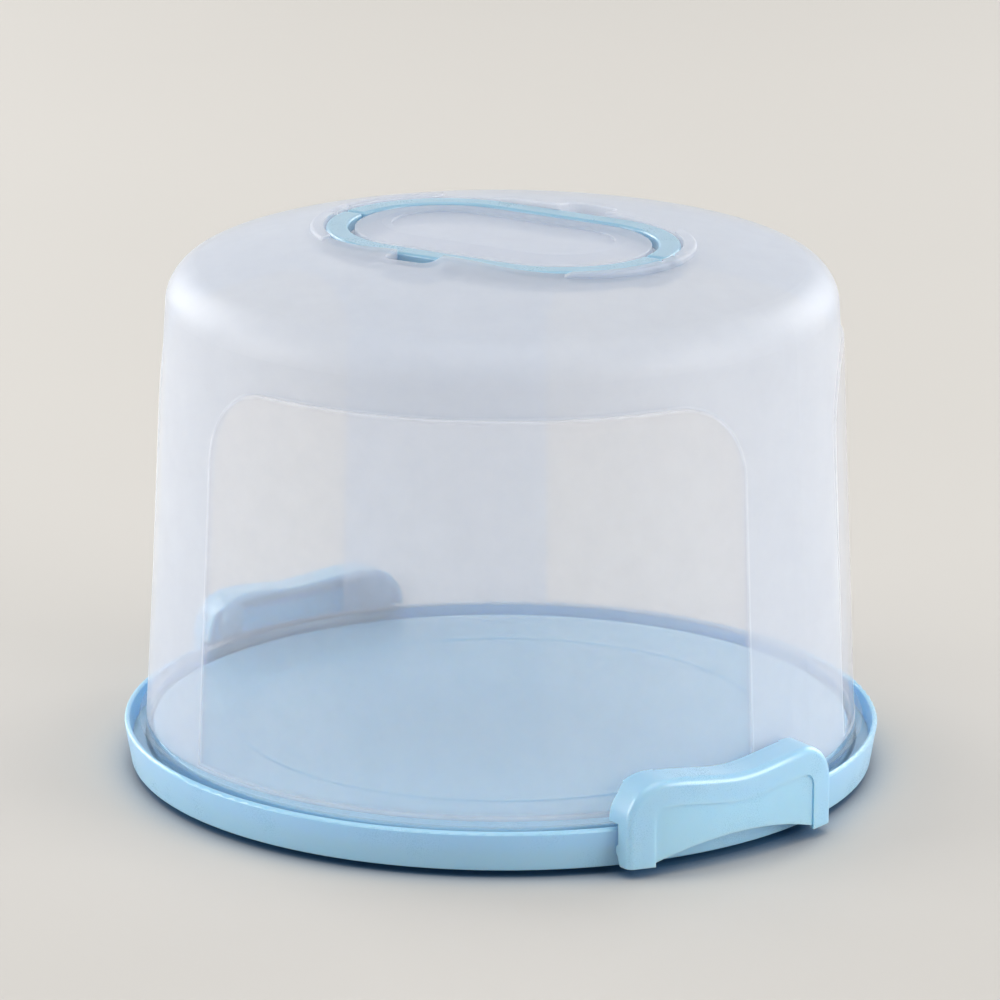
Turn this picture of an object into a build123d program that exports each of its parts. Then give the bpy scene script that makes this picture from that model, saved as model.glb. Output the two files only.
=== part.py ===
from build123d import *
from math import hypot, sqrt
import os

# Round cake carrier: a tray, a tall cover that stands in the tray's groove, two clips that
# swing up over the cover's foot flange, and a handle in two halves that folds flat into an
# oval well in the cover's top. Millimetres, +Z up, origin on the table under the axis.
# The clips lie on the X axis. The cover goes on at any turn; here it is turned by handle_turn.

# Cover: wall radius at the height of the tray's rim, and the top of its crown
wall_radius = 148.2
wall_draft = 0.0544
cover_wall = 1.8
crown_radius = 501.0
crown_top = 229.9
shoulder_round = 17.4
flange_reach = 3.0
flange_lift = 1.5
flange_thickness = 2.0
flange_round = 0.6
handle_turn = 22.25

# Window panels in the cover's wall, with less draft than the wall
window_drop = 45.9
window_lift = 1.5
window_corner = 35.0
window_wall = 2.0
window_sink = 0.35
window_proud = 1.35
window_depth = 24.0
wide_window = 99.5
narrow_window = 60.9
window_gap = 29.5

# Tray
rim_height = 20.0
rim_wall = 2.4
rim_round = 1.1
skirt_round = 0.7
plate_round = 0.8
rim_taper = 2.9
rim_gap = 3.9
skirt_lift = 3.2
plate_drop = 2.5
plate_wall = 2.4
plate_gap = 1.2
groove_depth = 5.5
foot_setback = 5.0
foot_width = 3.2
rib_count = 12
rib_width = 1.8
rib_depth = 3.0
rib_start = 24.0
stiff_ring_count = 3
bead_inset = 35.0
bead_width = 1.6
bead_height = 0.4

# Handle halves
slot_run = 28.0
bail_outer = 49.0
bail_width = 9.2
bail_sink = 4.7
bail_thickness = 5.6
bail_round = 1.2
bail_pivot = 5.6
bail_pin_radius = 1.6
bail_pin_length = 4.3
tail_gap = 0.8
bail_seat_gap = 0.3

# Handle well, its plateau, the pads at its ends and the finger notches
well_gap = 1.2
plateau_gap = 2.6
plateau_step = 0.3
plateau_rise = 1.7
plateau_round = 0.5
plateau_edge_round = 0.8
well_rim_round = 0.9
plateau_slope = 11.2
oval_border = 4.2
oval_depth = 1.0
pad_step = 0.5
pad_offset = 30.0
pad_end_wall = 1.6
pad_round = 1.2
notch_offset = 8.0
notch_width = 22.0
notch_reach = 11.5
notch_corner = 4.5
pocket_gap = 0.25
pocket_side_gap = 2.6
snap_slot_width = 2.8
snap_slot_reach = 1.4

# Clips
clip_reach = 7.5
clip_rise = 18.5
clip_wall = 2.2
clip_half_width = 51.2
clip_corner = 17.0
clip_dip = 2.8
clip_round = 3.2
clip_rim_gap = 0.8
lip_wall_gap = 2.4
lip_gap = 0.3
lip_rise = 11.2
lip_bevel = 3.6
hook_wall_gap = 1.6
hook_drop = 1.1
hook_tip = 0.8
hook_bevel = 3.6
hook_start = 32.0
hook_width = 12.0
clip_foot = 4.4
leg_width = 11.2
arch_step = 1.4
arch_rise = 7.2
toe_cut = 2.9
toe_rise = 3.0
panel_drop = 11.1
panel_corner = 6.0
panel_depth = 0.8
clip_pin_drop = 9.2
clip_pin_reach = 1.63
clip_pin_radius = 1.95
clip_pin_length = 4.4
clip_boss_radius = 3.0
lug_radius = 3.6
lug_width = 4.0
lug_gap = 0.5

running_clearance = 0.05
bore_end_gap = 0.6

# Heights and radii of the cover's foot and the tray round it
flange_top = rim_height + flange_lift
flange_radius = wall_radius + flange_reach
rim_radius = flange_radius + rim_gap + rim_wall
skirt_radius = rim_radius - rim_taper
rim_draft = rim_taper / (rim_height - skirt_lift)
plate_top = rim_height - plate_drop
plate_under = plate_top - plate_wall
plate_radius = wall_radius - cover_wall - plate_gap
groove_floor = plate_top - groove_depth
groove_under = groove_floor - plate_wall
foot_radius = plate_radius - foot_setback
foot_inner = foot_radius - foot_width
rib_lift = plate_under - rib_depth
bead_radius = plate_radius - bead_inset
window_top = crown_top - window_drop
window_foot = flange_top + window_lift

# Heights and radii of the handle and its well
bail_inner = bail_outer - bail_width
bail_top = crown_top - bail_sink
bail_bottom = bail_top - bail_thickness
bail_axis_height = bail_top - bail_thickness / 2
bail_middle = slot_run + (bail_inner + bail_outer) / 2
bail_pin_end = slot_run + bail_outer + bail_pin_length
well_radius = bail_outer + well_gap
trench_floor = bail_bottom - bail_seat_gap
pan_under = trench_floor - cover_wall
plateau_radius = bail_inner - plateau_gap
plateau_edge = bail_top - plateau_step
plateau_top = plateau_edge + plateau_rise
oval_rim_radius = plateau_radius - plateau_slope
oval_radius = oval_rim_radius - oval_border
bore_run = bail_pin_end + bore_end_gap
pad_radius = bore_run + pad_end_wall - slot_run
pad_start = slot_run + pad_offset
pad_top = bail_top + pad_step
tail_length = bail_pivot - tail_gap
tail_reach = bail_round + hypot(tail_length - bail_round, bail_thickness / 2 - bail_round)
pocket_floor = bail_axis_height - tail_reach - pocket_gap
pocket_under = pocket_floor - cover_wall
pocket_half_width = bail_pivot + bail_thickness / 2 + pocket_side_gap
above_all = crown_top + 20

# Heights and radii of the clips
clip_radius = rim_radius + clip_reach
clip_top = flange_top + clip_rise
clip_relief = rim_radius + clip_rim_gap
skirt_inner = clip_radius - clip_wall
panel_radius = clip_radius - panel_depth
toe_radius = clip_relief + toe_cut
toe_height = clip_foot + toe_rise
arch_foot = clip_foot + arch_step
arch_top = arch_foot + arch_rise
lip_radius = wall_radius + lip_wall_gap
lip_bottom = flange_top + lip_gap
lip_outside = lip_radius + clip_wall
lip_edge = lip_bottom + lip_rise
hook_radius = wall_radius + hook_wall_gap
hook_bottom = flange_top - hook_drop
hook_tip_radius = lip_outside - hook_tip
hook_middle = hook_start + hook_width / 2
cheek_inner = clip_half_width - clip_wall
ear = clip_half_width - clip_corner
leg_inner = clip_half_width - leg_width
recess_top = clip_top - panel_drop
recess_ear = leg_inner - panel_corner
lug_outer = cheek_inner - lug_gap
clip_pin_z = rim_height - clip_pin_drop
clip_pin_x = sqrt((rim_radius + clip_pin_reach) ** 2 - cheek_inner**2)


def rim_outside(height):
    """Radius of the tray's outer wall at a height."""
    return skirt_radius + rim_draft * (height - skirt_lift)


def wall_outside(height):
    """Radius of the cover's outer wall at a height."""
    return wall_radius - wall_draft * (height - rim_height)


def plane_at_y(y):
    """Upright plane facing -Y, with X to the right and Z up."""
    return Plane.XZ.offset(-y)


# Hinge lugs for the clips, two at each end of the X axis, on the outside of the tray's wall
with BuildPart() as hinge_lugs:
    with BuildSketch(plane_at_y(lug_outer)):
        with Locations((clip_pin_x, clip_pin_z)):
            Circle(lug_radius)
        with Locations((clip_pin_x - lug_radius, clip_pin_z)):
            Rectangle(2 * lug_radius, 2 * lug_radius)
        with Locations((clip_pin_x, clip_pin_z)):
            Circle(clip_pin_radius + running_clearance, mode=Mode.SUBTRACT)
    extrude(amount=lug_width)
    mirror(about=Plane.XZ)
    mirror(about=Plane.YZ)
    with BuildSketch(Plane.XZ):
        with BuildLine():
            Polyline(
                (0, 0),
                (rim_outside(0) - rim_wall / 2, 0),
                (rim_outside(rim_height) - rim_wall / 2, rim_height),
                (0, rim_height),
                close=True,
            )
        make_face()
    revolve(axis=Axis.Z, mode=Mode.SUBTRACT)

# The tray is one moulding, kept as two solids that meet at the inner face of its outer wall:
# this one is the wall with the lugs, and the next is all that the wall goes round
with BuildPart() as tray_rim:
    with BuildSketch(Plane.XZ) as wall_section:
        with BuildLine():
            Polyline(
                (rim_outside(rim_height) - rim_wall, rim_height),
                (rim_radius, rim_height),
                (skirt_radius, skirt_lift),
                (skirt_radius - rim_wall, skirt_lift),
                close=True,
            )
        make_face()
        fillet(wall_section.vertices().group_by(Axis.Y)[-1], rim_round)
        fillet(wall_section.vertices().group_by(Axis.Y)[0], skirt_round)
    revolve(axis=Axis.Z)
    add(hinge_lugs.part)

# Tray inside its wall: plate and groove in one section, then foot ring, ribs and bead
with BuildPart() as base_tray:
    with BuildSketch(Plane.XZ) as tray_section:
        with BuildLine():
            Polyline(
                (0, plate_top),
                (plate_radius, plate_top),
                (plate_radius, groove_floor),
                (rim_outside(groove_floor) - rim_wall, groove_floor),
                (rim_outside(groove_under) - rim_wall, groove_under),
                (plate_radius - plate_wall, groove_under),
                (plate_radius - plate_wall, plate_under),
                (0, plate_under),
                close=True,
            )
        make_face()
        plate_edge = tray_section.vertices().sort_by_distance((plate_radius, plate_top))[0]
        fillet(plate_edge, plate_round)
    revolve(axis=Axis.Z)
    with BuildSketch(Plane.XY):
        Circle(foot_radius)
        Circle(foot_inner, mode=Mode.SUBTRACT)
    extrude(amount=plate_under)
    with BuildSketch(Plane.XY.offset(rib_lift)):
        with PolarLocations((foot_inner + rib_start) / 2, rib_count):
            Rectangle(foot_inner - rib_start + rib_width, rib_width)
    extrude(amount=rib_depth)
    for ring in range(stiff_ring_count):
        ring_radius = rib_start + ring * (foot_inner - rib_start) / stiff_ring_count
        with BuildSketch(Plane.XY.offset(rib_lift)):
            Circle(ring_radius)
            Circle(ring_radius - rib_width, mode=Mode.SUBTRACT)
        extrude(amount=rib_depth)
    with BuildSketch(Plane.XY.offset(plate_top)):
        Circle(bead_radius + bead_width / 2)
        Circle(bead_radius - bead_width / 2, mode=Mode.SUBTRACT)
    extrude(amount=bead_height)


def cover_solid(inset):
    """Solid of the cover's outside, or of its hollow when inset by the wall."""
    with BuildPart() as solid:
        with BuildSketch(Plane.XZ) as section:
            with BuildLine():
                Polyline(
                    (0, groove_floor),
                    (wall_outside(groove_floor) - inset, groove_floor),
                    (wall_outside(above_all) - inset, above_all),
                    (0, above_all),
                    close=True,
                )
            make_face()
            with Locations((0, crown_top - crown_radius)):
                Circle(crown_radius - inset, mode=Mode.INTERSECT)
            corner = section.vertices().sort_by(lambda v: v.X + v.Y)[-1]
            fillet(corner, shoulder_round - inset)
        revolve(axis=Axis.Z)
    return solid.part


def window_zone(start, span):
    """Wedge of the wall that one window fills, with its two upper corners rounded."""
    with BuildPart() as zone:
        with BuildSketch(Plane.XZ):
            with Locations((wall_radius, (window_top + window_foot) / 2)):
                Rectangle(window_depth, window_top - window_foot)
        revolve(axis=Axis.Z, revolution_arc=span)
        upper = zone.faces().sort_by(Axis.Z)[-1]
        fillet(upper.edges().filter_by(GeomType.LINE), window_corner)
    return zone.part.rotate(Axis.Z, start)


def oval(radius, mode=Mode.ADD):
    """Oval outline in the current sketch, with straight sides along the handle."""
    SlotCenterToCenter(2 * slot_run, 2 * radius, mode=mode)


def finger_notches(growth):
    """Outlines of the two finger notches in the current sketch, grown by a wall."""
    with BuildSketch(mode=Mode.PRIVATE) as notch:
        Rectangle(notch_width + 2 * growth, 2 * (notch_reach + growth))
        fillet(notch.vertices(), notch_corner + growth)
    with Locations((-notch_offset, -well_radius), (notch_offset, well_radius)):
        add(notch.sketch)


def on_crown(edge):
    """Whether an edge lies on the crown's outer face, inside its shoulder."""
    centre = Vector(0, 0, crown_top - crown_radius)
    reach = [(edge @ t - centre).length for t in (0, 0.5, 1)]
    return edge.center().Z > pan_under and all(abs(r - crown_radius) < 0.01 for r in reach)


# The three windows' zones, and the panes' own shell with less draft than the wall
with BuildPart() as window_zones:
    add(window_zone(window_gap / 2, wide_window))
    add(window_zone(-window_gap / 2 - wide_window, wide_window))
    add(window_zone(180 - narrow_window / 2, narrow_window))

pane_low = wall_outside(window_foot) - window_sink
pane_high = wall_outside(window_top) + window_proud
with BuildPart() as window_panes:
    with BuildSketch(Plane.XZ):
        with BuildLine():
            Polyline(
                (pane_low, window_foot),
                (pane_high, window_top),
                (pane_high - window_wall, window_top),
                (pane_low - window_wall, window_foot),
                close=True,
            )
        make_face()
    revolve(axis=Axis.Z)
    add(window_zones.part, mode=Mode.INTERSECT)

# Solid under the handle well, notches and pockets, up to the crown
with BuildPart() as well_block:
    with BuildSketch(Plane.XY.offset(pan_under)):
        oval(well_radius + cover_wall)
        finger_notches(cover_wall)
    extrude(amount=above_all - pan_under)
    with BuildSketch(Plane.XY.offset(pocket_under)):
        Rectangle(4 * well_radius, 2 * (pocket_half_width + cover_wall))
        oval(well_radius + cover_wall, mode=Mode.INTERSECT)
        oval(plateau_radius - cover_wall, mode=Mode.SUBTRACT)
    extrude(amount=pan_under - pocket_under)
    add(cover_solid(0), mode=Mode.INTERSECT)

# Flat-topped pads round the two ends of the well, which hold the handle's pins
with BuildPart() as end_pads:
    with BuildSketch(Plane.XY.offset(trench_floor)):
        oval(pad_radius)
        Rectangle(2 * pad_start, 4 * pad_radius, mode=Mode.SUBTRACT)
    extrude(amount=pad_top - trench_floor)
    fillet(end_pads.faces().sort_by(Axis.Z)[-2:].edges().filter_by(GeomType.CIRCLE), pad_round)

# Raised middle of the well, a low frustum with an oval recess in its top
with BuildPart() as plateau_crown:
    with BuildSketch(Plane.XY.offset(plateau_edge)):
        oval(plateau_radius)
    with BuildSketch(Plane.XY.offset(plateau_top)):
        oval(oval_rim_radius)
    loft()
    with BuildSketch(Plane.XY.offset(plateau_top - oval_depth)):
        oval(oval_radius)
    extrude(amount=oval_depth, mode=Mode.SUBTRACT)
    fillet(plateau_crown.edges().group_by(Axis.Z)[-1], plateau_round)

# What the well takes out of the crown, down to its floors
with BuildPart() as well_space:
    with BuildSketch(Plane.XY.offset(trench_floor)):
        oval(well_radius)
        finger_notches(0)
        oval(plateau_radius, mode=Mode.SUBTRACT)
    extrude(amount=above_all - trench_floor)
    with BuildSketch(Plane.XY.offset(plateau_edge)):
        oval(plateau_radius)
    extrude(amount=above_all - plateau_edge)
    with BuildSketch(Plane.XY.offset(pocket_floor)):
        Rectangle(4 * well_radius, 2 * pocket_half_width)
        oval(well_radius, mode=Mode.INTERSECT)
        oval(plateau_radius, mode=Mode.SUBTRACT)
    extrude(amount=trench_floor - pocket_floor)

# Hollow under the plateau, open to the inside of the cover
with BuildPart() as plateau_hollow:
    with BuildSketch(Plane.XY.offset(pocket_under)):
        oval(plateau_radius - cover_wall)
    extrude(amount=plateau_edge - oval_depth - cover_wall - pocket_under)

# Bores for the handle's pins, with the slots that the pins snap down through
with BuildPart() as pin_bores:
    with BuildSketch(Plane.YZ.offset(bail_middle)):
        with Locations((-bail_pivot, bail_axis_height), (bail_pivot, bail_axis_height)):
            Circle(bail_pin_radius + running_clearance)
    extrude(amount=bore_run - bail_middle)
    with BuildSketch(Plane.XY.offset(bail_axis_height)):
        slot_start = slot_run + well_radius - well_gap
        with Locations((slot_start, -bail_pivot), (slot_start, bail_pivot)):
            Rectangle(well_gap + snap_slot_reach, snap_slot_width, align=(Align.MIN, Align.CENTER))
    extrude(amount=above_all - bail_axis_height)
    mirror(about=Plane.YZ)

# Cover: shell, handle well with a rounded rim, panes, foot flange and the ends of the well
with BuildPart() as straight_cover:
    add(cover_solid(0))
    add(cover_solid(cover_wall), mode=Mode.SUBTRACT)
    add(well_block.part)
    add(well_space.part, mode=Mode.SUBTRACT)
    fillet(straight_cover.edges().filter_by(on_crown), well_rim_round)
    add(window_zones.part, mode=Mode.SUBTRACT)
    add(window_panes.part)
    with BuildSketch(Plane.XZ) as flange_section:
        flange_inner = wall_outside(flange_top) - cover_wall / 2
        with Locations(((flange_inner + flange_radius) / 2, flange_top - flange_thickness / 2)):
            Rectangle(flange_radius - flange_inner, flange_thickness)
        fillet(flange_section.vertices().group_by(Axis.X)[-1], flange_round)
    revolve(axis=Axis.Z)
    add(end_pads.part)
    add(well_space.part, mode=Mode.SUBTRACT)
    add(plateau_hollow.part, mode=Mode.SUBTRACT)
    add(plateau_crown.part)
    rounded = straight_cover.edges().filter_by(lambda e: abs(e.center().Z - plateau_edge) < 0.01)
    fillet(rounded.filter_by(lambda e: abs(e.center().Y) < plateau_radius + 0.1), plateau_edge_round)
    add(pin_bores.part, mode=Mode.SUBTRACT)

# Half of the handle, lying flat on the -Y side of the well, with a pin at each end
with BuildPart() as handle_half:
    with BuildSketch(Plane.XY.offset(bail_bottom)):
        oval(bail_outer)
        oval(bail_inner, mode=Mode.SUBTRACT)
        with Locations((0, -tail_gap)):
            Rectangle(
                4 * bail_outer,
                2 * bail_outer,
                align=(Align.CENTER, Align.MIN),
                mode=Mode.SUBTRACT,
            )
    extrude(amount=bail_thickness)
    fillet(handle_half.edges(), bail_round)
    with BuildSketch(Plane.YZ.offset(bail_middle)):
        with Locations((-bail_pivot, bail_axis_height)):
            Circle(bail_pin_radius)
    extrude(amount=bail_pin_end - bail_middle)
    mirror(about=Plane.YZ)


def clip_outline(inset, foot):
    """Front view of a clip as a sketch, inset by a wall and standing on its foot."""
    half = clip_half_width - inset
    top = clip_top - inset
    corner = clip_corner - inset
    with BuildSketch() as outline:
        with BuildLine():
            Line((-half, foot), (-half, top - corner))
            RadiusArc((-half, top - corner), (-ear, top), corner)
            Spline((-ear, top), (0, top - clip_dip), (ear, top), tangents=((1, 0), (1, 0)))
            RadiusArc((ear, top), (half, top - corner), corner)
            Polyline((half, top - corner), (half, foot), (-half, foot))
        make_face()
    return outline.sketch


# Clip at the +X side: an outer skin with side cheeks, a lip with two hooks, and two pins
with BuildPart() as clip_body:
    with BuildSketch(Plane.XZ):
        with BuildLine():
            Polyline(
                (hook_radius, hook_bottom + hook_bevel),
                (hook_tip_radius, hook_bottom),
                (lip_outside, hook_bottom),
                (lip_outside, lip_bottom),
                (clip_relief, lip_bottom),
                (clip_relief, toe_height),
                (toe_radius, 0),
                (clip_radius, 0),
                (clip_radius, 2 * clip_top),
                (hook_radius, 2 * clip_top),
                close=True,
            )
        make_face()
    revolve(axis=Axis.Z)
    with BuildSketch(Plane.YZ):
        add(clip_outline(0, clip_foot))
        with BuildLine():
            Line((-leg_inner, 0), (-leg_inner, arch_foot))
            Spline((-leg_inner, arch_foot), (0, arch_top), (leg_inner, arch_foot))
            Polyline((leg_inner, arch_foot), (leg_inner, 0), (-leg_inner, 0))
        make_face(mode=Mode.SUBTRACT)
    extrude(amount=2 * clip_radius, mode=Mode.INTERSECT)

    face_edges = clip_body.faces().sort_by(Axis.X)[-1].edges()
    side_edges = face_edges.filter_by(lambda e: abs(e.center().Y) > cheek_inner)
    top_edges = face_edges.filter_by(lambda e: e.center().Z > clip_top - clip_corner)
    fillet(side_edges + top_edges, clip_round)

# Hollow of a clip, open downwards between the lip and the outer skin
with BuildPart() as clip_hollow:
    with BuildSketch(Plane.XZ):
        with BuildLine():
            Polyline(
                (lip_outside, 0),
                (skirt_inner, 0),
                (skirt_inner, 2 * clip_top),
                (lip_outside, 2 * clip_top),
                close=True,
            )
        make_face()
    revolve(axis=Axis.Z)
    with BuildSketch(Plane.YZ):
        add(clip_outline(clip_wall, 0))
    extrude(amount=2 * clip_radius, mode=Mode.INTERSECT)

# What is cut from a clip's lip beside its two hooks, so that only they stand over the flange
with BuildPart() as lip_relief:
    with BuildSketch(Plane.XZ):
        with BuildLine():
            Polyline(
                (0, 0),
                (lip_outside, 0),
                (lip_outside, lip_edge),
                (lip_radius, lip_edge + lip_bevel),
                (lip_radius, 2 * clip_top),
                (0, 2 * clip_top),
                close=True,
            )
        make_face()
    revolve(axis=Axis.Z)
    with BuildSketch(Plane.YZ):
        with Locations((0, clip_top)):
            Rectangle(4 * clip_half_width, 2 * clip_top)
        with Locations((-hook_middle, clip_top), (hook_middle, clip_top)):
            Rectangle(hook_width, 4 * clip_top, mode=Mode.SUBTRACT)
    extrude(amount=2 * clip_radius, mode=Mode.INTERSECT)

# Recess in a clip's outer face, between the legs and under the top band
with BuildPart() as clip_recess:
    with BuildSketch(Plane.XY):
        Circle(2 * clip_radius)
        Circle(panel_radius, mode=Mode.SUBTRACT)
    extrude(amount=clip_top)
    with BuildSketch(Plane.YZ):
        with BuildLine():
            Line((-leg_inner, 0), (-leg_inner, recess_top - panel_corner))
            RadiusArc((-leg_inner, recess_top - panel_corner), (-recess_ear, recess_top), panel_corner)
            Spline(
                (-recess_ear, recess_top),
                (0, recess_top - clip_dip),
                (recess_ear, recess_top),
                tangents=((1, 0), (1, 0)),
            )
            RadiusArc((recess_ear, recess_top), (leg_inner, recess_top - panel_corner), panel_corner)
            Polyline((leg_inner, recess_top - panel_corner), (leg_inner, 0), (-leg_inner, 0))
        make_face()
    extrude(amount=2 * clip_radius, mode=Mode.INTERSECT)

# Bosses on a clip's cheeks, with the pins that turn in the tray's lugs
with BuildPart() as clip_pins:
    with BuildSketch(plane_at_y(clip_half_width)):
        with Locations((clip_pin_x, clip_pin_z)):
            Circle(clip_boss_radius)
    extrude(amount=clip_wall)
    with BuildSketch(plane_at_y(cheek_inner)):
        with Locations((clip_pin_x, clip_pin_z)):
            Circle(clip_pin_radius)
    extrude(amount=clip_pin_length)
    mirror(about=Plane.XZ)

os.makedirs("parts", exist_ok=True)

base_tray.part.label = "base_tray"
export_step(base_tray.part, "parts/base_tray.step")

tray_rim.part.label = "tray_rim"
export_step(tray_rim.part, "parts/tray_rim.step")

# The cover is one moulding, kept as two solids that meet at the top of its foot flange
with BuildPart() as dome_cover:
    add(straight_cover.part.rotate(Axis.Z, handle_turn))
    split(bisect_by=Plane.XY.offset(flange_top), keep=Keep.TOP)
dome_cover.part.label = "dome_cover"
export_step(dome_cover.part, "parts/dome_cover.step")

with BuildPart() as cover_foot:
    add(straight_cover.part.rotate(Axis.Z, handle_turn))
    split(bisect_by=Plane.XY.offset(flange_top), keep=Keep.BOTTOM)
cover_foot.part.label = "cover_foot"
export_step(cover_foot.part, "parts/cover_foot.step")

with BuildPart() as handle_front:
    add(handle_half.part.rotate(Axis.Z, handle_turn))
handle_front.part.label = "handle_front"
export_step(handle_front.part, "parts/handle_front.step")

with BuildPart() as handle_rear:
    add(handle_half.part.rotate(Axis.Z, handle_turn + 180))
handle_rear.part.label = "handle_rear"
export_step(handle_rear.part, "parts/handle_rear.step")

with BuildPart() as latch_front:
    add(clip_body.part)
    add(clip_hollow.part, mode=Mode.SUBTRACT)
    add(lip_relief.part, mode=Mode.SUBTRACT)
    add(clip_recess.part, mode=Mode.SUBTRACT)
    add(clip_pins.part)
latch_front.part.label = "latch_front"
export_step(latch_front.part, "parts/latch_front.step")

with BuildPart() as latch_rear:
    add(latch_front.part.rotate(Axis.Z, 180))
latch_rear.part.label = "latch_rear"
export_step(latch_rear.part, "parts/latch_rear.step")
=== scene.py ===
"""Finishes, light and camera for a round cake carrier: a blue tray with two clips, and a frosted
cover with clearer windows and a handle in two folding halves.

Metres, +Z up, origin on the table under the cover's axis, +X towards the front clip."""

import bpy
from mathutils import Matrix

bl_info = {
    "name": "Cake Carrier",
    "version": (1, 0, 0),
    "blender": (4, 5, 0),
    "location": "3D View > Sidebar > Carrier",
    "description": "Moulded plastic finishes and a small studio for a round cake carrier",
    "category": "Object",
}

from math import cos, pi, radians, sin

import bpy
from bpy.props import FloatProperty, FloatVectorProperty, PointerProperty
from mathutils import Matrix, Vector

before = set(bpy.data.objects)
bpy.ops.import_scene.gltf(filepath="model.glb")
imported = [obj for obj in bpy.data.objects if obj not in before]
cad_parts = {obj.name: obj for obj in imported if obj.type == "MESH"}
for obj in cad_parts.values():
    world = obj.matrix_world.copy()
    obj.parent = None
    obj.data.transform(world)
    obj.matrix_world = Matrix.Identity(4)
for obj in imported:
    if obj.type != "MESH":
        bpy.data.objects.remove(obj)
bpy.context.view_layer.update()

# The cover's windows: bearings and spans in degrees from the handle's line, the rest in metres
HANDLE_TURN = 22.25
WIDE_MIDDLE = 64.5
WIDE_SPAN = 99.5
NARROW_MIDDLE = 180.0
NARROW_SPAN = 60.9
WALL_RADIUS = 0.1445
WINDOW_TOP = 0.184
WINDOW_FOOT = 0.023
WINDOW_CORNER = 0.035

# The camera: degrees and metres, with the place that it turns round on the cover's axis
CAMERA_BEARING = -36.0
CAMERA_HEIGHT = 16.091
CAMERA_REACH = 2.71755
CAMERA_AIM = 0.111693
CAMERA_LENS = 235.932
CAMERA_SENSOR = 36.0
CAMERA_ROLL = 0.2013
CAMERA_YAW = 0.015

# Plastic: its index of refraction, the share of its light that spreads inside it, how that differs
# in red, green and blue, its depth in metres, and how far the grain stands proud, in metres
PLASTIC_IOR = 1.49
NOISE_ROUGHNESS = 0.55
BUMP_STRENGTH = 0.3
BLUE_GLOW = 0.8
BLUE_SPREAD = (0.5, 0.8, 1.0)
BLUE_DEPTH = 0.004
BLUE_GRAIN = 0.00002
BLUE_PATCHES = 0.03
FROST_GLOW = 1.0
FROST_SPREAD = (1.0, 1.0, 1.0)
FROST_DEPTH = 0.01
FROST_GRAIN = 0.00003
FROST_PATCHES = 0.08

# How far the light that the frosted wall stops varies in patches, and how far a window and the foot
# differ from the wall in tone, roughness and grain
COVER_PATCHES = 0.05
WINDOW_PATCHES = 0.03
WINDOW_TONE = 0.85
WINDOW_POLISH = 0.12
WINDOW_GRAIN = 0.6
FOOT_TONE = 0.8
FOOT_POLISH = 0.06

# Distances past a window's outline, in metres, over which the wall turns milky and a more opaque
# line follows it as a painted highlight of the window's edge, with the share of light that the line
# stops
WINDOW_EDGE = (-0.0008, 0.0006)
LINE_START = (-0.0018, -0.0002)
LINE_END = (0.0, 0.0014)
LINE_COVER = 0.14

# The floor: its size, its roughness, how deep its drift of tone goes, and the distance in metres
# over which a painted contact shadow darkens it under the tray
FLOOR_RADIUS = 8.0
FLOOR_SIDES = 96
FLOOR_ROUGHNESS = 0.6
FLOOR_DRIFT = 0.97
CONTACT_REACH = 0.03

# The light: the room's, the height that the lamps face, and of each lamp its name, bearing from the
# camera's and height in degrees, distance, width and depth in metres, and power in watts
ROOM_STRENGTH = 0.48
LAMP_AIM = 0.1
LAMPS = (
    ("overhead", 0, 80, 2.6, 2.4, 2.4, 29),
    ("front_box", 0, 50, 2.6, 1.6, 1.6, 3),
    ("left_box", -80, 16, 2.2, 1.4, 1.4, 28),
    ("right_box", 66, 16, 2.2, 1.4, 1.4, 31),
    ("left_back_box", -135, 16, 2.4, 1.4, 1.4, 30),
    ("right_back_box", 135, 16, 2.4, 1.4, 1.4, 24),
    ("back_box", 180, 14, 2.8, 2.0, 1.2, 5),
)


def linear(red, green, blue):
    """Scene-linear colour of an sRGB colour given in 0 to 255."""
    shares = (red / 255, green / 255, blue / 255)
    return tuple(s / 12.92 if s <= 0.04045 else ((s + 0.055) / 1.055) ** 2.4 for s in shares)


class Flow:
    """A socket of a finish's node tree that takes part in Python arithmetic."""

    def __init__(self, finish, socket):
        self.finish = finish
        self.socket = socket

    def math(self, operation, *values):
        return self.finish.node("ShaderNodeMath", {"operation": operation}, dict(enumerate(values)))

    def __add__(self, other):
        return self.math("ADD", self, other)

    def __sub__(self, other):
        return self.math("SUBTRACT", self, other)

    def __rsub__(self, other):
        return self.math("SUBTRACT", other, self)

    def __mul__(self, other):
        return self.math("MULTIPLY", self, other)

    def __abs__(self):
        return self.math("ABSOLUTE", self)

    __radd__ = __add__

    def over(self, floor):
        """The larger of this value and another."""
        return self.math("MAXIMUM", self, floor)

    def under(self, ceiling):
        """The smaller of this value and another."""
        return self.math("MINIMUM", self, ceiling)

    def length_with(self, other):
        """Length of the diagonal over this value and another."""
        return self.math("SQRT", self * self + other * other)

    def rise(self, start, end):
        """0 before start, 1 after end, with a smooth step between."""
        settings = {"interpolation_type": "SMOOTHSTEP"}
        values = {"Value": self, "From Min": start, "From Max": end}
        return self.finish.node("ShaderNodeMapRange", settings, values)


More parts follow.
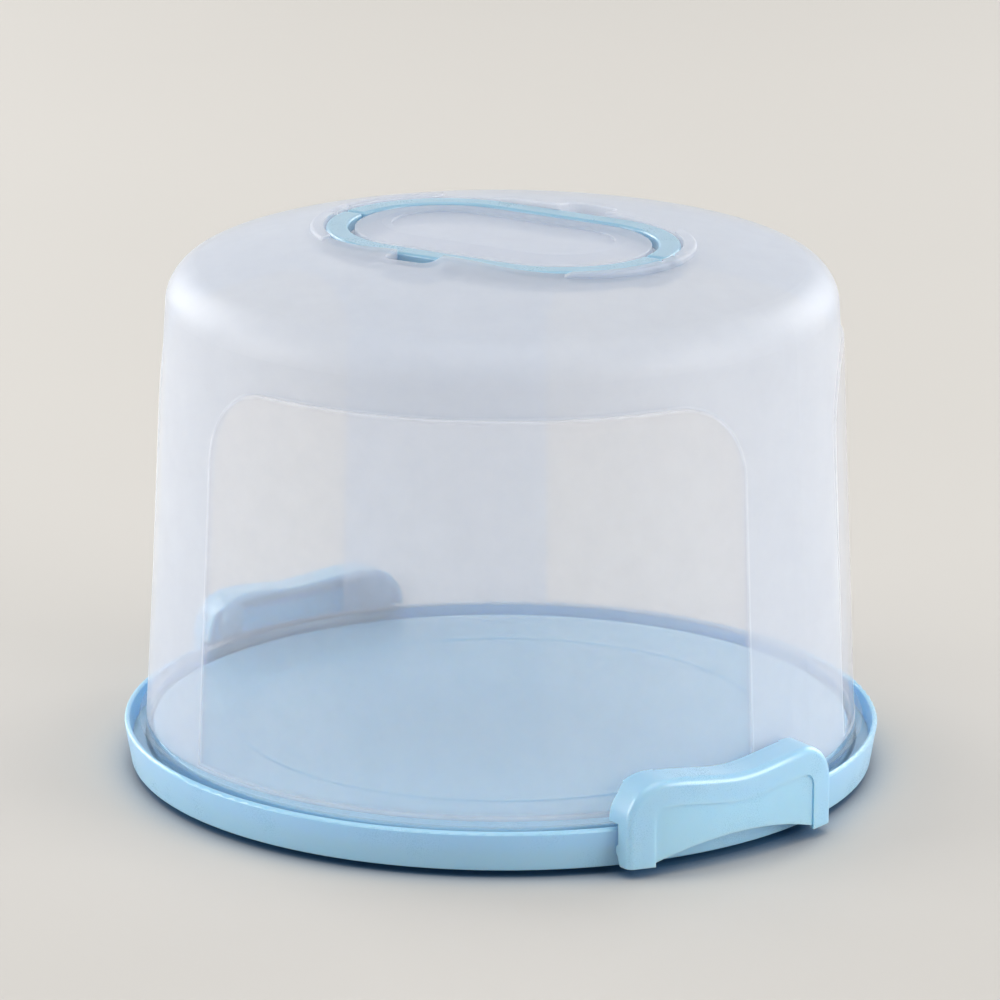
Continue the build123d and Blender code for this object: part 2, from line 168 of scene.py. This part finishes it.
class Finish:
    """A procedural material on Object coordinates, built node by node."""

    def __init__(self, name):
        self.material = bpy.data.materials.new(name)
        self.material.use_nodes = True
        self.tree = self.material.node_tree
        self.tree.nodes.clear()
        self.place = self.node("ShaderNodeTexCoord", {}, {}, "Object")

    def node(self, kind, settings, values, output=0):
        """Adds a node, its settings first and then its sockets' values or links."""
        node = self.tree.nodes.new(kind)
        for key, value in settings.items():
            setattr(node, key, value)
        for key, value in values.items():
            if isinstance(value, Flow):
                self.tree.links.new(value.socket, node.inputs[key])
            else:
                node.inputs[key].default_value = value
        return None if output is None else Flow(self, node.outputs[output])

    def noise(self, scale, detail):
        """Soft noise from 0 to 1, with about this many grains to a metre."""
        values = {"Vector": self.place, "Scale": scale, "Detail": detail, "Roughness": NOISE_ROUGHNESS}
        return self.node("ShaderNodeTexNoise", {"noise_dimensions": "3D"}, values, "Fac")

    def mix(self, share, first, second):
        """Colour that goes from the first to the second. Sockets 0, 6 and 7 are the share and the
        two colours, and socket 2 is the result."""
        settings = {"data_type": "RGBA", "blend_type": "MIX"}
        first, second = ((*c, 1.0) if isinstance(c, tuple) else c for c in (first, second))
        return self.node("ShaderNodeMix", settings, {0: share, 6: first, 7: second}, 2)

    def bump(self, height, distance, strength):
        """Normal of a surface that stands this far proud where the height is 1."""
        values = {"Height": height, "Distance": distance, "Strength": strength}
        return self.node("ShaderNodeBump", {}, values, "Normal")

    def close(self, surface):
        """Links the last shader to the output, and gives the material."""
        self.node("ShaderNodeOutputMaterial", {}, {"Surface": surface}, None)
        return self.material


def blue_plastic(name, look, deep, pale):
    """Glossy moulded plastic, with a faint drift of tone, a fine grain and a slow ripple."""
    finish = Finish(name)
    drift = finish.noise(9.0, 1.0)
    cloud = finish.noise(45.0, 1.0)
    grain = finish.noise(2600.0, 1.0)
    ripple = finish.noise(38.0, 0.0)
    colour = finish.mix(drift * 0.85 + cloud * 0.15, tuple(deep), tuple(pale))
    roughness = look.roughness + (cloud - 0.5) * BLUE_PATCHES + (grain - 0.5) * BLUE_PATCHES
    surface = finish.node(
        "ShaderNodeBsdfPrincipled",
        {},
        {
            "Base Color": colour,
            "Roughness": roughness,
            "Normal": finish.bump(grain * 0.1 + ripple * 0.5, BLUE_GRAIN, BUMP_STRENGTH),
            "IOR": PLASTIC_IOR,
            "Specular IOR Level": 1.0,
            "Subsurface Weight": BLUE_GLOW,
            "Subsurface Radius": BLUE_SPREAD,
            "Subsurface Scale": BLUE_DEPTH,
        },
    )
    return finish.close(surface)


def window_outline(finish):
    """Distance past the outline of the nearest of the cover's windows, below 0 inside it."""
    split = finish.node("ShaderNodeSeparateXYZ", {}, {"Vector": finish.place})
    x, y, z = (Flow(finish, socket) for socket in split.socket.node.outputs)
    turn = radians(HANDLE_TURN)
    along = x * cos(turn) + y * sin(turn)
    across = y * cos(turn) - x * sin(turn)
    bearing = abs(across.math("ARCTAN2", across, along))

    def pane(middle, span):
        half = radians(span) / 2 * WALL_RADIUS - WINDOW_CORNER
        side = abs(bearing - radians(middle)) * WALL_RADIUS - half
        rise = z - (WINDOW_TOP - WINDOW_CORNER)
        corner = side.over(0.0).length_with(rise.over(0.0))
        return corner + side.over(rise).under(0.0) - WINDOW_CORNER

    panes = pane(WIDE_MIDDLE, WIDE_SPAN).under(pane(NARROW_MIDDLE, NARROW_SPAN))
    return panes.over(WINDOW_FOOT - z)


def frosted_plastic(name, look, foot):
    """Milky moulded plastic, clearer in the windows, or at the cover's foot clearer all over."""
    finish = Finish(name)
    drift = finish.noise(7.0, 2.0)
    cloud = finish.noise(60.0, 4.0)
    grain = finish.noise(1500.0, 2.0)
    frost = finish.mix(drift, tuple(look.frost_shade), tuple(look.frost))
    if foot:
        # Painted light: the foot's tone leans to the blue of the tray's light that shows through it
        colour = finish.mix(cloud * (1.0 - FOOT_TONE) + FOOT_TONE, frost, tuple(look.foot))
        alpha = look.foot_cover + (cloud - 0.5) * COVER_PATCHES
        roughness = look.roughness - FOOT_POLISH + (cloud - 0.5) * FROST_PATCHES
        relief = grain
    else:
        outline = window_outline(finish)
        window = 1.0 - outline.rise(*WINDOW_EDGE)
        # Painted highlight: a thin, more opaque milky line along each window's outline, where the
        # edge's step in the mesh catches light
        line = outline.rise(*LINE_START) * (1.0 - outline.rise(*LINE_END))
        colour = finish.mix(window * WINDOW_TONE, frost, tuple(look.window))
        opacity = look.frost_cover + (cloud - 0.5) * COVER_PATCHES
        haze = look.window_cover + (cloud - 0.5) * WINDOW_PATCHES
        alpha = opacity + (haze - opacity) * window + line * LINE_COVER
        roughness = look.roughness - window * WINDOW_POLISH + (cloud - 0.5) * FROST_PATCHES
        relief = grain * (1.0 - window * WINDOW_GRAIN)
    surface = finish.node(
        "ShaderNodeBsdfPrincipled",
        {},
        {
            "Base Color": colour,
            "Roughness": roughness,
            "Alpha": alpha,
            "Normal": finish.bump(relief, FROST_GRAIN, BUMP_STRENGTH),
            "IOR": PLASTIC_IOR,
            "Subsurface Weight": FROST_GLOW,
            "Subsurface Radius": FROST_SPREAD,
            "Subsurface Scale": FROST_DEPTH,
        },
    )
    return finish.close(surface)


def worktop_finish(look):
    """Matt pale floor, turning to a deeper and bluer tone close under the tray as a painted contact
    shadow.
    """
    finish = Finish("worktop_pale")
    low = tuple(c * FLOOR_DRIFT for c in look.floor)
    tone = finish.mix(finish.noise(3.0, 4.0), low, tuple(look.floor))
    # Painted shadow: where ambient occlusion finds the floor hemmed in under the tray, its tone turns
    # to the deeper, bluer shadow colour
    clear = finish.node("ShaderNodeAmbientOcclusion", {"samples": 8}, {"Distance": CONTACT_REACH}, "AO")
    tone = finish.mix(clear.rise(0.0, 0.9), tuple(look.painted_contact_shadow), tone)
    values = {"Base Color": tone, "Roughness": FLOOR_ROUGHNESS}
    return finish.close(finish.node("ShaderNodeBsdfPrincipled", {}, values))


class PlasticLook(bpy.types.PropertyGroup):
    """Blue plastic of the tray, the clips and the handle, the handle's tones greyer as painted shade"""

    pale: FloatVectorProperty(
        name="Pale",
        description="Lighter tone of the plastic",
        subtype="COLOR",
        default=linear(165, 209, 237),
    )
    deep: FloatVectorProperty(
        name="Deep",
        description="Deeper tone of the plastic",
        subtype="COLOR",
        default=linear(157, 203, 234),
    )
    # Painted shade: the handle is the same blue plastic, given greyer, darker tones to stand in for the
    # light that falls on it
    handle_shaded_pale: FloatVectorProperty(
        name="Handle pale",
        description="Lighter tone of the handle",
        subtype="COLOR",
        default=linear(149, 188, 210),
    )
    handle_shaded_deep: FloatVectorProperty(
        name="Handle deep",
        description="Deeper tone of the handle",
        subtype="COLOR",
        default=linear(142, 182, 206),
    )
    roughness: FloatProperty(
        name="Roughness",
        description="Roughness of the moulded skin",
        subtype="FACTOR",
        default=0.28,
    )


class CoverLook(bpy.types.PropertyGroup):
    """Frosted plastic of the cover"""

    frost: FloatVectorProperty(
        name="Frost",
        description="Lighter tone of the milky wall",
        subtype="COLOR",
        default=linear(208, 214, 227),
    )
    frost_shade: FloatVectorProperty(
        name="Frost shade",
        description="Deeper tone of the milky wall",
        subtype="COLOR",
        default=linear(201, 208, 223),
    )
    window: FloatVectorProperty(
        name="Window",
        description="Tone of the clearer windows",
        subtype="COLOR",
        default=linear(213, 217, 229),
    )
    # Painted light: the foot's blue tint stands in for the tray's blue light showing through the
    # frosted foot
    foot: FloatVectorProperty(
        name="Foot",
        description="Tone of the foot, which takes on the tray's",
        subtype="COLOR",
        default=linear(190, 214, 234),
    )
    frost_cover: FloatProperty(
        name="Frost cover",
        description="Share of light that a milky face stops",
        subtype="FACTOR",
        default=0.43,
    )
    window_cover: FloatProperty(
        name="Window cover",
        description="Share of light that a window's face stops",
        subtype="FACTOR",
        default=0.18,
    )
    foot_cover: FloatProperty(
        name="Foot cover",
        description="Share of light that a face of the foot stops",
        subtype="FACTOR",
        default=0.1,
    )
    roughness: FloatProperty(
        name="Roughness",
        description="Roughness of the frosted skin",
        subtype="FACTOR",
        default=0.42,
    )


class StudioLook(bpy.types.PropertyGroup):
    """Floor and light"""

    floor: FloatVectorProperty(
        name="Floor",
        description="Tone of the worktop",
        subtype="COLOR",
        default=linear(203, 200, 195),
    )
    # Colour of the painted contact shadow close under the tray
    painted_contact_shadow: FloatVectorProperty(
        name="Floor shade",
        description="Tone close under the tray",
        subtype="COLOR",
        default=linear(30, 100, 142),
    )
    level: FloatProperty(
        name="Light level",
        description="Scale of every lamp and of the room's light",
        subtype="FACTOR",
        default=1.0,
    )


def dress(material, *nodes):
    """Gives CAD nodes their finish."""
    for node in nodes:
        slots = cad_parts[node].data.materials
        slots.clear()
        slots.append(material)


class CARRIER_OT_tray(bpy.types.Operator):
    """Finish the tray and its rim"""

    bl_idname = "carrier.tray"
    bl_label = "Tray"

    def execute(self, context):
        look = context.scene.carrier_plastic
        dress(blue_plastic("tray_blue", look, look.deep, look.pale), "base_tray", "tray_rim")
        return {"FINISHED"}


class CARRIER_OT_clips(bpy.types.Operator):
    """Finish the two clips"""

    bl_idname = "carrier.clips"
    bl_label = "Clips"

    def execute(self, context):
        look = context.scene.carrier_plastic
        dress(blue_plastic("clip_blue", look, look.deep, look.pale), "latch_front", "latch_rear")
        return {"FINISHED"}


class CARRIER_OT_handle(bpy.types.Operator):
    """Finish the two halves of the handle"""

    bl_idname = "carrier.handle"
    bl_label = "Handle"

    def execute(self, context):
        look = context.scene.carrier_plastic
        # The handle's greyer tones are painted shade on the same blue plastic as the tray and clips
        finish = blue_plastic("handle_blue_shaded", look, look.handle_shaded_deep, look.handle_shaded_pale)
        dress(finish, "handle_front", "handle_rear")
        return {"FINISHED"}


class CARRIER_OT_cover(bpy.types.Operator):
    """Finish the frosted cover and its foot"""

    bl_idname = "carrier.cover"
    bl_label = "Cover"

    def execute(self, context):
        look = context.scene.carrier_cover
        dress(frosted_plastic("cover_frost", look, False), "dome_cover")
        dress(frosted_plastic("foot_frost", look, True), "cover_foot")
        return {"FINISHED"}


def lamp(name, bearing, height, reach, size, power):
    """Soft lamp that faces the carrier, at a bearing in degrees counted from the camera's."""
    light = bpy.data.lights.new(name, "AREA")
    light.shape = "RECTANGLE"
    light.size, light.size_y = size
    light.energy = power
    body = bpy.data.objects.new(name, light)
    bpy.context.scene.collection.objects.link(body)
    body.visible_camera = False
    turn, rise = radians(CAMERA_BEARING + bearing), radians(height)
    spot = Vector((cos(turn) * cos(rise), sin(turn) * cos(rise), sin(rise)))
    body.location = Vector((0, 0, LAMP_AIM)) + spot * reach
    body.rotation_euler = spot.to_track_quat("Z", "Y").to_euler()


def place_camera():
    """Camera on the photograph's side of the carrier, far back behind a long lens."""
    data = bpy.data.cameras.new("camera")
    data.lens = CAMERA_LENS
    data.sensor_width = CAMERA_SENSOR
    data.clip_end = 100.0
    camera = bpy.data.objects.new("camera", data)
    bpy.context.scene.collection.objects.link(camera)
    bpy.context.scene.camera = camera
    turn, rise = radians(CAMERA_BEARING), radians(CAMERA_HEIGHT)
    away = Vector((cos(rise) * cos(turn), cos(rise) * sin(turn), sin(rise)))
    camera.matrix_world = (
        Matrix.Translation(Vector((0, 0, CAMERA_AIM)) + away * CAMERA_REACH)
        @ Matrix.Rotation(turn + pi / 2 + radians(CAMERA_YAW), 4, "Z")
        @ Matrix.Rotation(pi / 2 - rise, 4, "X")
        @ Matrix.Rotation(radians(CAMERA_ROLL), 4, "Z")
    )


class CARRIER_OT_stage(bpy.types.Operator):
    """Build the floor, the lamps and the camera"""

    bl_idname = "carrier.stage"
    bl_label = "Stage"

    def execute(self, context):
        look = context.scene.carrier_studio
        context.scene.view_settings.view_transform = "Standard"
        bpy.ops.mesh.primitive_circle_add(vertices=FLOOR_SIDES, radius=FLOOR_RADIUS, fill_type="NGON")
        floor = context.active_object
        floor.name = "worktop"
        floor.data.materials.append(worktop_finish(look))

        room = bpy.data.worlds.new("studio")
        context.scene.world = room
        room.use_nodes = True
        background = room.node_tree.nodes["Background"]
        background.inputs["Color"].default_value = (*look.floor, 1.0)
        background.inputs["Strength"].default_value = ROOM_STRENGTH * look.level

        for name, bearing, height, reach, width, depth, power in LAMPS:
            lamp(name, bearing, height, reach, (width, depth), power * look.level)
        place_camera()
        return {"FINISHED"}


STEPS = (CARRIER_OT_stage, CARRIER_OT_tray, CARRIER_OT_clips, CARRIER_OT_cover, CARRIER_OT_handle)


class CARRIER_PT_panel(bpy.types.Panel):
    """Lists the carrier's steps"""

    bl_idname = "CARRIER_PT_panel"
    bl_label = "Cake Carrier"
    bl_space_type = "VIEW_3D"
    bl_region_type = "UI"
    bl_category = "Carrier"

    def draw(self, context):
        for step in STEPS:
            self.layout.operator(step.bl_idname)


CLASSES = (PlasticLook, CoverLook, StudioLook, *STEPS, CARRIER_PT_panel)


def register():
    for item in CLASSES:
        bpy.utils.register_class(item)
    bpy.types.Scene.carrier_plastic = PointerProperty(type=PlasticLook)
    bpy.types.Scene.carrier_cover = PointerProperty(type=CoverLook)
    bpy.types.Scene.carrier_studio = PointerProperty(type=StudioLook)


def unregister():
    del bpy.types.Scene.carrier_plastic
    del bpy.types.Scene.carrier_cover
    del bpy.types.Scene.carrier_studio
    for item in reversed(CLASSES):
        bpy.utils.unregister_class(item)


def main():
    register()
    bpy.ops.carrier.stage()
    bpy.ops.carrier.tray()
    bpy.ops.carrier.clips()
    bpy.ops.carrier.cover()
    bpy.ops.carrier.handle()


if __name__ == "__main__":
    main()
